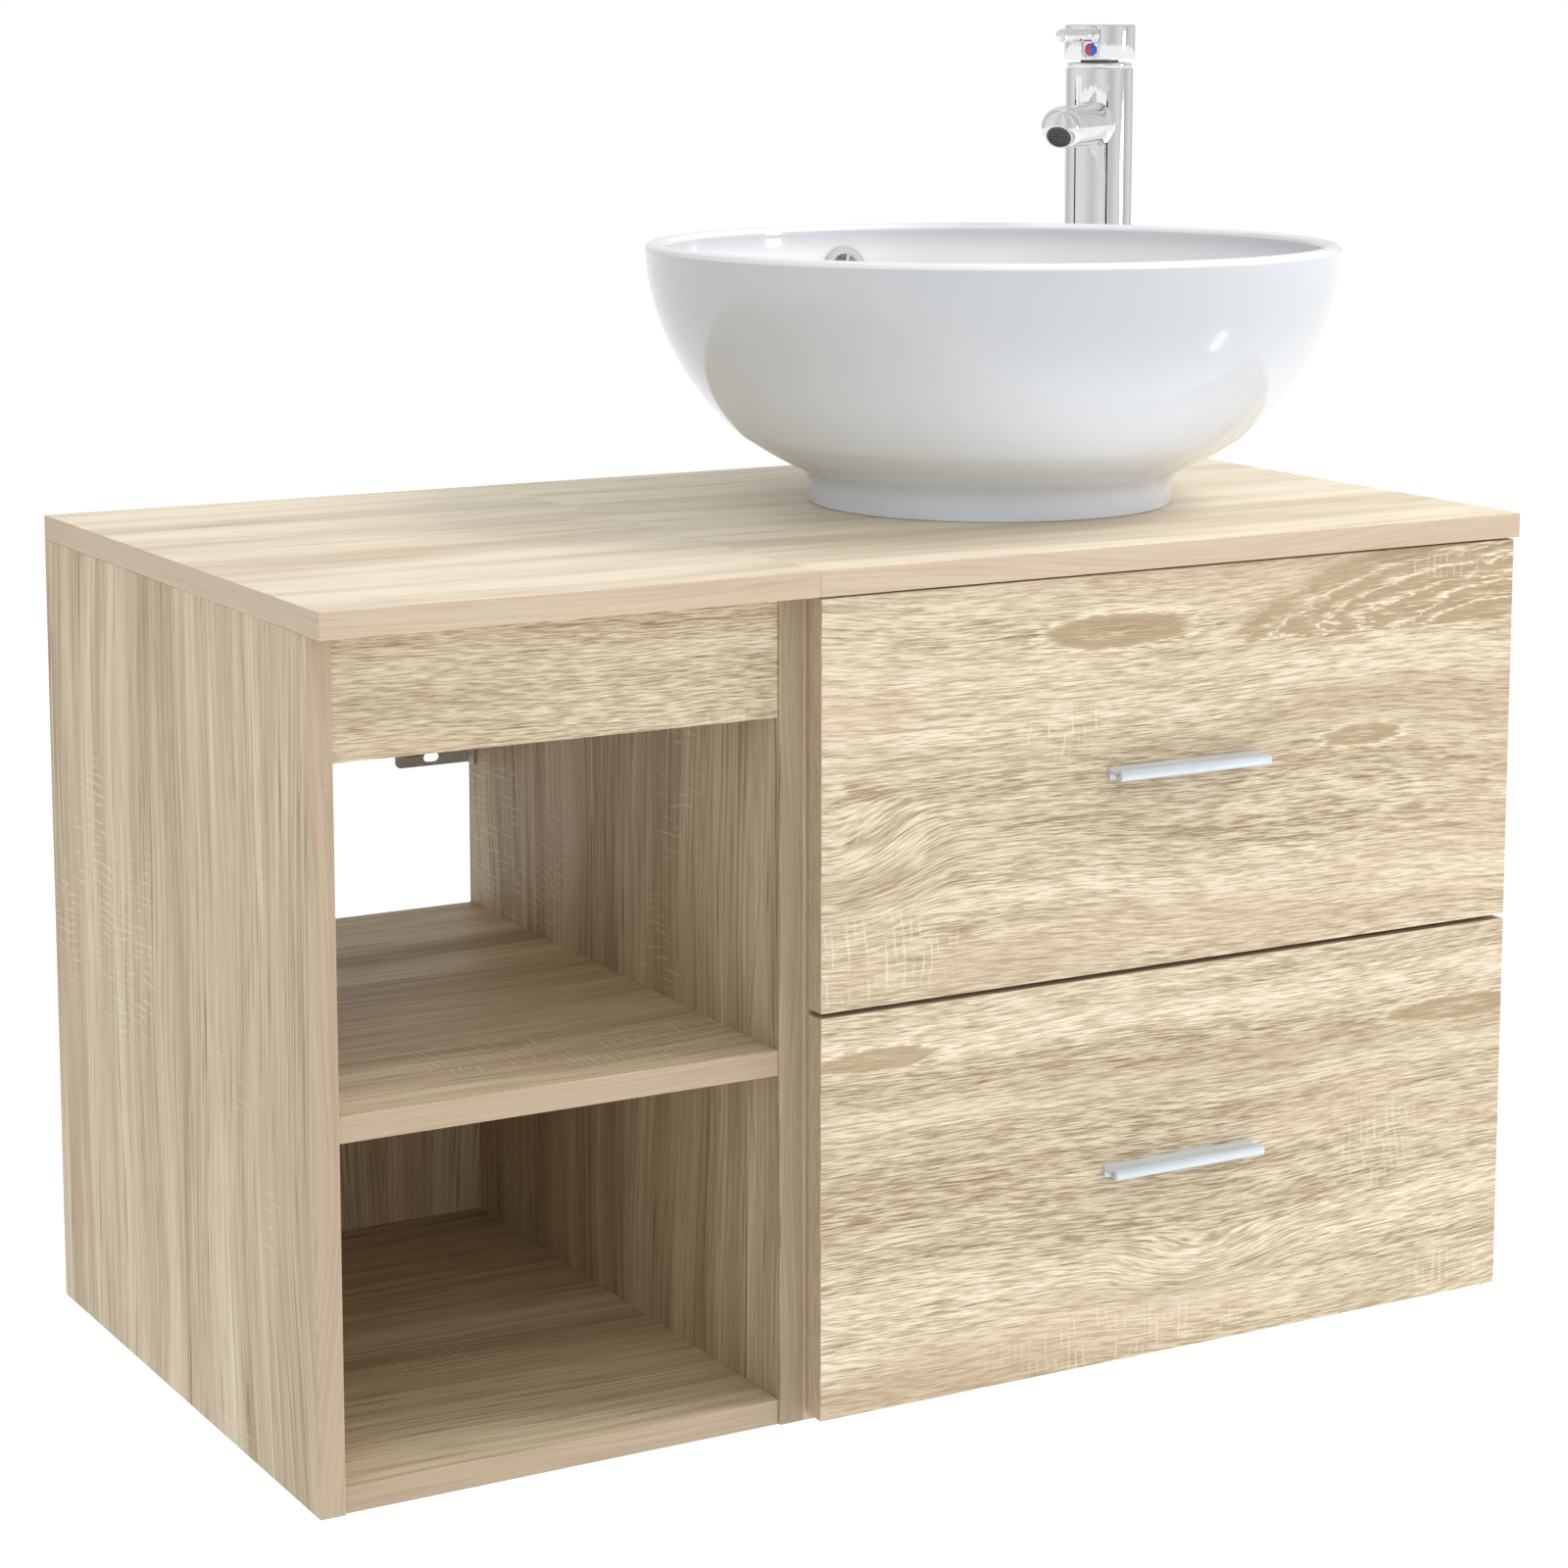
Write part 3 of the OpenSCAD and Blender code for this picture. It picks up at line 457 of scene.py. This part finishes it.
# Knots of the drawer fronts. On the upper one those above the joint of its two planks end there
NO_CUT = -10.0
_, plank_joint = on_front(upper_low, 0, 0.795)
UPPER_KNOTS = (
    (*on_front(upper_low, 1.00, 0.79), 0.235, 0.066, 6.0, plank_joint),
    (*on_front(upper_low, 0.405, 0.858), 0.072, 0.014, 0.85, plank_joint),
    (*on_front(upper_low, 0.77, 0.53), 0.040, 0.009, 0.8, NO_CUT),
    (*on_front(upper_low, 0.02, 0.34), 0.085, 0.052, 0, NO_CUT),
)
lower_low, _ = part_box("lower_front")
LOWER_KNOTS = (
    (*on_front(lower_low, 0.93, 0.78), 0.075, 0.010, 0.8, NO_CUT),
    (*on_front(lower_low, 0.53, 0.22), 0.080, 0.026, 0, NO_CUT),
    (*on_front(lower_low, 0.08, 0.88), 0.060, 0.010, 0.7, NO_CUT),
)

# Saw marks of the drawer fronts
UPPER_SPOTS = (
    (*on_front(upper_low, 0.06, 0.11), 0.090, 0.034),
    (*on_front(upper_low, 0.34, 0.62), 0.040, 0.022),
    (*on_front(upper_low, 0.90, 0.95), 0.040, 0.010),
)
LOWER_SPOTS = (
    (*on_front(lower_low, 0.42, 0.07), 0.110, 0.022),
    (*on_front(lower_low, 0.80, 0.48), 0.045, 0.040),
    (*on_front(lower_low, 0.92, 0.07), 0.050, 0.016),
)

# Grain axis, axis that the face looks along, knots, strength of the saw marks, embossing, and for
# some boards a lightness shift, which is painted light and shade (lighter worktops lit from above,
# darker boards turned from the light or in the shelf's shade), and places of the saw marks
BOARDS = {
    "shelf_worktop": ("X", "Z", (), 0.15, 0.15, 0.25),
    "cabinet_worktop": ("X", "Z", (), 0.15, 0.15, 0.25),
    "shelf_left_panel": ("Z", "X", (), 0.35, 0.1, -0.07),
    "shelf_right_panel": ("Z", "X", (), 0.35, 0.2, -0.17),
    "cabinet_left_panel": ("Z", "X", (), 0.35, 0.1),
    "cabinet_right_panel": ("Z", "X", (), 0.35, 0.1),
    "shelf_bottom": ("X", "Z", (), 0.4, 0.2, -0.12),
    "shelf_middle": ("X", "Z", (), 0.4, 0.2, -0.08),
    "shelf_front_rail": ("X", "Y", (), 0.6, 1.0, -0.04),
    "shelf_rear_rail": ("X", "Y", (), 0.4, 0.2),
    "shelf_back_panel": ("Z", "Y", (), 0.4, 0.2, -0.15),
    "cabinet_bottom": ("X", "Z", (), 0.4, 0.2),
    "cabinet_front_rail": ("X", "Z", (), 0.4, 0.2),
    "cabinet_rear_rail": ("X", "Y", (), 0.4, 0.2),
    "upper_front": ("X", "Y", UPPER_KNOTS, 0.45, 1.0, -0.03, UPPER_SPOTS),
    "lower_front": ("X", "Y", LOWER_KNOTS, 0.40, 1.0, -0.04, LOWER_SPOTS),
    "upper_sides": ("Y", "X", (), 0.3, 0.2),
    "lower_sides": ("Y", "X", (), 0.3, 0.2),
    "upper_rear_boards": ("X", "Y", (), 0.3, 0.2),
    "upper_notch_boards": ("Y", "X", (), 0.3, 0.2),
    "lower_rear": ("X", "Y", (), 0.3, 0.2),
}
for number, (board, look) in enumerate(BOARDS.items(), start=1):
    dress(board, oak("oak_" + board, number, *look), 0.5, flat=True)

birch_wood = birch()
zinc = galvanised("zinc_plate", (0.34, 0.34, 0.35), (0.56, 0.56, 0.57), 0.9)
bracket_steel = galvanised("bracket_steel", (0.50, 0.50, 0.505), (0.62, 0.62, 0.625), 0.1)
satin = brushed(
    "satin_aluminium", (0.60, 0.655, 0.71), (0.72, 0.77, 0.82), 0.42, metallic=0.55
)
slide_steel = brushed("slide_steel", (0.45, 0.46, 0.47), (0.66, 0.67, 0.68), 0.30, "Y")
polished = chrome()
basin_low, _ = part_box("basin")
rim_low, rim_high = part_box("basin_rim")
glaze = ceramic(basin_low.z + 35 * MM, basin_low.z + 130 * MM)
black_rubber = plastic("rubber", (0.018, 0.018, 0.019), (0.035, 0.035, 0.036), 0.72, 500)
white_plastic = plastic("white_plastic", (0.74, 0.74, 0.72), (0.82, 0.82, 0.80), 0.32)
cartridge_plastic = plastic("cartridge_plastic", (0.60, 0.60, 0.58), (0.70, 0.70, 0.68), 0.5)
grey_insert = plastic("aerator_insert", (0.075, 0.075, 0.078), (0.11, 0.11, 0.115), 0.45, 1500)

dress("wood_dowels", birch_wood, 0.3)
dress(["upper_bottom", "lower_bottom"], birch_wood, 0.3, flat=True)
dress(["cam_locks", "bracket_screws", "upper_handle_screws", "lower_handle_screws"], zinc, 0.2)
dress(["mixer_fixings", "mixer_stem"], zinc, 0.2)
dress(["shelf_brackets", "cabinet_brackets"], bracket_steel, 0.3)
dress(["upper_handle", "lower_handle"], satin, 0.35)
for level in ("upper", "lower"):
    dress([f"{level}_slide_{part}" for part in ("outer", "middle", "inner")], slide_steel, 0.15)
dress(["overflow_ring", "waste_body", "waste_plug"], polished, 0.3)
dress(["mixer_body", "mixer_spout", "mixer_cap", "mixer_lever", "mixer_collar"], polished, 0.3)
dress("waste_gaskets", black_rubber, 0.2)
dress(["waste_nut", "trap_head", "trap_cup", "trap_nuts", "trap_pipe"], white_plastic, 0.4)
dress(["mixer_cartridge", "mixer_carrier"], cartridge_plastic, 0.2)
dress("mixer_aerator", grey_insert, 0.15)

dot_low, dot_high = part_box("mixer_dot")
body_low, body_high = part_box("mixer_body")
mixer_axis = (body_low + body_high) / 2
dot_centre = (dot_low + dot_high) / 2
outward = (dot_centre - mixer_axis) * Vector((1, 1, 0))
outward.normalize()
sideways = Vector((-outward.y, outward.x, 0))
dress("mixer_dot", two_tone_dot(dot_centre, sideways), 0.15)


# ---------------------------------------------------------------- basin

# Sizes of the bowl's section: the outside is a foot, a flare and an ellipse whose widest level
# lies OUTER_LIFT over the rim, and the inside is an ellipse down to the seat of the waste
BOWL_R = (rim_high.x - rim_low.x) / 2
BOWL_H = rim_high.z - basin_low.z
bowl_axis = (rim_low + rim_high) / 2
RIM_T = 12 * MM
LIP_H = 4 * MM
OUTER_SAG = 181.8 * MM
OUTER_LIFT = 3.6 * MM
INNER_SAG = 120 * MM
SEAT_Z = 40 * MM
DRAIN_R = 23 * MM
OVERFLOW_R = 11 * MM
OVERFLOW_TILT = math.radians(21)
JOIN_Z = 44 * MM
# Radius and height in mm from the drain hole under the bowl to the outside of its foot
UNDERSIDE = ((34, 0), (34, 20), (86, 20), (99, 12), (102, 0.5), (103, 0), (113.6, 0))
FOOT_EDGE = 1.4 * MM
# Start, bend and end in mm of the foot's flare, of the lowest part of the side, which ends on
# the ellipse, and of the edge of the seat
FOOT_FLARE = ((115, 11), (115.4, 17), (120, 20.4))
SIDE_START, SIDE_BEND = (121.5, 21.4), (142, 31.5)
SEAT_EDGE = ((37, 42.2), (34.5, 41.5), (34, 40.6))


def arc(cx, cz, rx, rz, start, end, steps):
    """Points of an ellipse, in degrees."""
    turns = [math.radians(start + (end - start) * i / steps) for i in range(steps + 1)]
    return [(cx + rx * math.cos(t), cz + rz * math.sin(t)) for t in turns]


def metres(*points):
    """Points given in mm."""
    return [(r * MM, z * MM) for r, z in points]


def bend(a, b, c, steps):
    """Points of a curve from a to c that leaves and arrives towards b."""
    out = []
    for i in range(steps + 1):
        t = i / steps
        weights = ((1 - t) ** 2, 2 * t * (1 - t), t * t)
        out.append(tuple(sum(w * q[k] for w, q in zip(weights, (a, b, c))) for k in (0, 1)))
    return out


def bowl_outline():
    """Closed section of the bowl as (radius, height), from the drain hole out, up, over and in."""
    lip_z = BOWL_H - LIP_H
    sag_z = BOWL_H + OUTER_LIFT
    top = -math.degrees(math.asin((sag_z - lip_z) / OUTER_SAG))
    outer_r = BOWL_R / math.cos(math.radians(top))
    turn = -math.degrees(math.asin((sag_z - JOIN_Z) / OUTER_SAG))
    join_r = outer_r * math.cos(math.radians(turn))
    foot = [(DRAIN_R, 0), *metres(*UNDERSIDE)]
    foot += arc(UNDERSIDE[-1][0] * MM, FOOT_EDGE, FOOT_EDGE, FOOT_EDGE, -60, 0, 4)
    foot += bend(*metres(*FOOT_FLARE), 10)
    side = bend(*metres(SIDE_START, SIDE_BEND), (join_r, JOIN_Z), 12)
    side += arc(0, sag_z, outer_r, OUTER_SAG, turn + 1.2, top, 60)
    lip = arc(BOWL_R - RIM_T / 2, lip_z, RIM_T / 2, LIP_H, 8, 172, 20)
    inside = arc(0, lip_z, BOWL_R - RIM_T, INNER_SAG, 0, -79, 70)
    drain = bend(*metres(*SEAT_EDGE), 5)
    drain += [(33.2 * MM, SEAT_Z), (DRAIN_R + 1 * MM, SEAT_Z), (DRAIN_R, SEAT_Z - 1 * MM)]
    return foot + side + lip + inside + drain


def spin(outline, segments=288):
    """Closed surface of revolution about Z through the bowl's axis."""
    bm = bmesh.new()
    base = Vector((bowl_axis.x, bowl_axis.y, basin_low.z))
    rings = []
    for i in range(segments):
        turn = 2 * math.pi * i / segments
        c, s = math.cos(turn), math.sin(turn)
        rings.append([bm.verts.new(base + Vector((r * c, r * s, z))) for r, z in outline])
    count = len(outline)
    for i in range(segments):
        here, there = rings[i], rings[(i + 1) % segments]
        for k in range(count):
            n = (k + 1) % count
            bm.faces.new((here[k], there[k], there[n], here[n]))
    bmesh.ops.recalc_face_normals(bm, faces=bm.faces)
    mesh = bpy.data.meshes.new("basin_glazed")
    bm.to_mesh(mesh)
    bm.free()
    return mesh


def show(mesh, name):
    o = bpy.data.objects.new(name, mesh)
    bpy.context.scene.collection.objects.link(o)
    return o


def cut(target, cutter):
    """Cuts cutter's shape out of target's mesh and removes the cutter."""
    m = target.modifiers.new("cut", "BOOLEAN")
    m.operation = "DIFFERENCE"
    m.object = cutter
    m.solver = "EXACT"
    graph = bpy.context.evaluated_depsgraph_get()
    target.data = bpy.data.meshes.new_from_object(target.evaluated_get(graph))
    target.modifiers.clear()
    bpy.data.objects.remove(cutter, do_unlink=True)


ring_low, ring_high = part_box("overflow_ring")
ring_centre = (ring_low + ring_high) / 2
basin = show(spin(bowl_outline()), "basin_glazed")
bm = bmesh.new()
radial = (ring_centre - bowl_axis) * Vector((1, 1, 0))
radial.normalize()
slope = Matrix.Rotation(OVERFLOW_TILT, 3, radial.cross(Vector((0, 0, -1))))
hole_axis = slope @ radial
bmesh.ops.create_cone(
    bm, cap_ends=True, segments=96, radius1=OVERFLOW_R, radius2=OVERFLOW_R, depth=14 * MM
)
turned = hole_axis.to_track_quat("Z", "Y").to_matrix().to_4x4()
bm.transform(Matrix.Translation(ring_centre + hole_axis * 2 * MM) @ turned)
hole_mesh = bpy.data.meshes.new("overflow_cut")
bm.to_mesh(hole_mesh)
bm.free()
cut(basin, show(hole_mesh, "overflow_cut"))
basin.data.materials.clear()
basin.data.materials.append(glaze)
basin.data.shade_smooth()
basin.data.set_sharp_from_angle(angle=math.radians(38))
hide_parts("basin", "basin_rim")
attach(basin, "vanity")


# ---------------------------------------------------------------- room, light and camera

FLOOR_Z = -0.80
FLOOR_GLOW = 0.27
# Brightness of the studio by direction: everywhere, and more towards +X, -Y and +Z
SKY, SKY_RIGHT, SKY_FRONT, SKY_TOP = 0.53, 0.05, 0.35, 0.45
# Turn about the object and brightness of the studio as metal reflects it
STUDIO_BANDS = (
    (0.00, 0.80), (0.08, 0.62), (0.17, 0.84), (0.26, 0.58), (0.34, 0.80), (0.42, 0.52),
    (0.50, 0.78), (0.60, 0.60), (0.70, 0.86), (0.78, 0.56), (0.88, 0.82), (1.00, 0.80),
)
# Name, place, target, width and height, watts, and whether gloss mirrors it
LIGHTS = (
    ("key", (1.88, -1.15, 2.39), (-0.1, -0.25, 0.05), (1.1, 1.1), 46, False),
    ("glint", (1.27, -1.13, -0.62), (0.03, -0.43, 0.27), (0.06, 0.18), 0.6, True),
    ("rim_glint", (1.9, -1.42, 0.46), (-0.05, -0.02, 0.31), (0.3, 0.3), 2.6, True),
)
CAMERA_PLACE = (-1.2891, -2.2420, 0.4624)
CAMERA_DOWN = math.radians(8.31)
CAMERA_RIGHT = math.radians(29.40)
CAMERA_LENS = 86.92
CAMERA_SHIFT = -0.14


def floor():
    """Wide pale floor well below the wall-hung unit."""
    bm = bmesh.new()
    bmesh.ops.create_grid(bm, x_segments=4, y_segments=4, size=30)
    bm.transform(Matrix.Translation((0, 0, FLOOR_Z)))
    mesh = bpy.data.meshes.new("floor")
    bm.to_mesh(mesh)
    bm.free()
    o = show(mesh, "floor")
    g = Graph("floor", Specular_IOR_Level=0.1)
    cloud = g.noise(g.coords.outputs["Object"], (3, 3, 3), 3, 0.5)
    colour = g.ramp(cloud, ((0.3, (0.90, 0.90, 0.90)), (0.7, (0.92, 0.92, 0.92))))
    o.data.materials.append(g.surface(colour, g.spread(cloud, 0.3, 0.7, 0.85, 0.9)))
    g.shader.inputs["Emission Color"].default_value = (1, 1, 1, 1)
    g.shader.inputs["Emission Strength"].default_value = FLOOR_GLOW


def soft_light(name, place, target, size, watts, mirrored):
    """Flat light of size width and height. Only a mirrored one shows in gloss and metal."""
    data = bpy.data.lights.new(name, "AREA")
    data.shape = "RECTANGLE"
    data.size, data.size_y = size
    data.energy = watts
    o = bpy.data.objects.new(name, data)
    bpy.context.scene.collection.objects.link(o)
    o.location = place
    o.rotation_euler = (Vector(target) - Vector(place)).to_track_quat("-Z", "Y").to_euler()
    o.visible_glossy = mirrored
    o.visible_camera = False


def world():
    """White behind the object, softer as it lights it, and in grey bands as metal mirrors it."""
    w = bpy.data.worlds.new("studio")
    w.use_nodes = True
    tree = w.node_tree
    background = tree.nodes["Background"]
    background.inputs["Color"].default_value = (1, 1, 1, 1)
    rays = tree.nodes.new("ShaderNodeLightPath")
    place = tree.nodes.new("ShaderNodeTexCoord")
    bands = tree.nodes.new("ShaderNodeTexGradient")
    bands.gradient_type = "RADIAL"
    ramp = tree.nodes.new("ShaderNodeValToRGB")
    points = ramp.color_ramp.elements
    while len(points) < len(STUDIO_BANDS):
        points.new(0.5)
    for point, (spot, grey) in zip(points, STUDIO_BANDS):
        point.position = spot
        point.color = (grey, grey, grey, 1)
    tree.links.new(place.outputs["Generated"], bands.inputs["Vector"])
    tree.links.new(bands.outputs["Fac"], ramp.inputs[0])

    toward = tree.nodes.new("ShaderNodeVectorMath")
    toward.operation = "DOT_PRODUCT"
    tree.links.new(place.outputs["Generated"], toward.inputs[0])
    toward.inputs[1].default_value = (SKY_RIGHT, -SKY_FRONT, SKY_TOP)
    sky = tree.nodes.new("ShaderNodeMath")
    tree.links.new(toward.outputs["Value"], sky.inputs[0])
    sky.inputs[1].default_value = SKY

    def pick(share, low, high):
        n = tree.nodes.new("ShaderNodeMix")
        for socket, value in ((n.inputs[0], share), (n.inputs[2], low), (n.inputs[3], high)):
            if isinstance(value, float):
                socket.default_value = value
            else:
                tree.links.new(value, socket)
        return n.outputs[0]

    seen = pick(rays.outputs["Is Glossy Ray"], sky.outputs[0], ramp.outputs[0])
    seen = pick(rays.outputs["Is Camera Ray"], seen, 1.0)
    tree.links.new(seen, background.inputs["Strength"])
    bpy.context.scene.world = w


def camera():
    data = bpy.data.cameras.new("camera")
    data.sensor_width = 36
    data.lens = CAMERA_LENS
    data.shift_y = CAMERA_SHIFT
    data.clip_end = 100
    o = bpy.data.objects.new("camera", data)
    bpy.context.scene.collection.objects.link(o)
    o.location = CAMERA_PLACE
    o.rotation_euler = (math.radians(90) - CAMERA_DOWN, 0, -CAMERA_RIGHT)
    bpy.context.scene.camera = o


floor()
world()
for light in LIGHTS:
    soft_light(*light)
camera()
bpy.context.scene.view_settings.view_transform = "Standard"
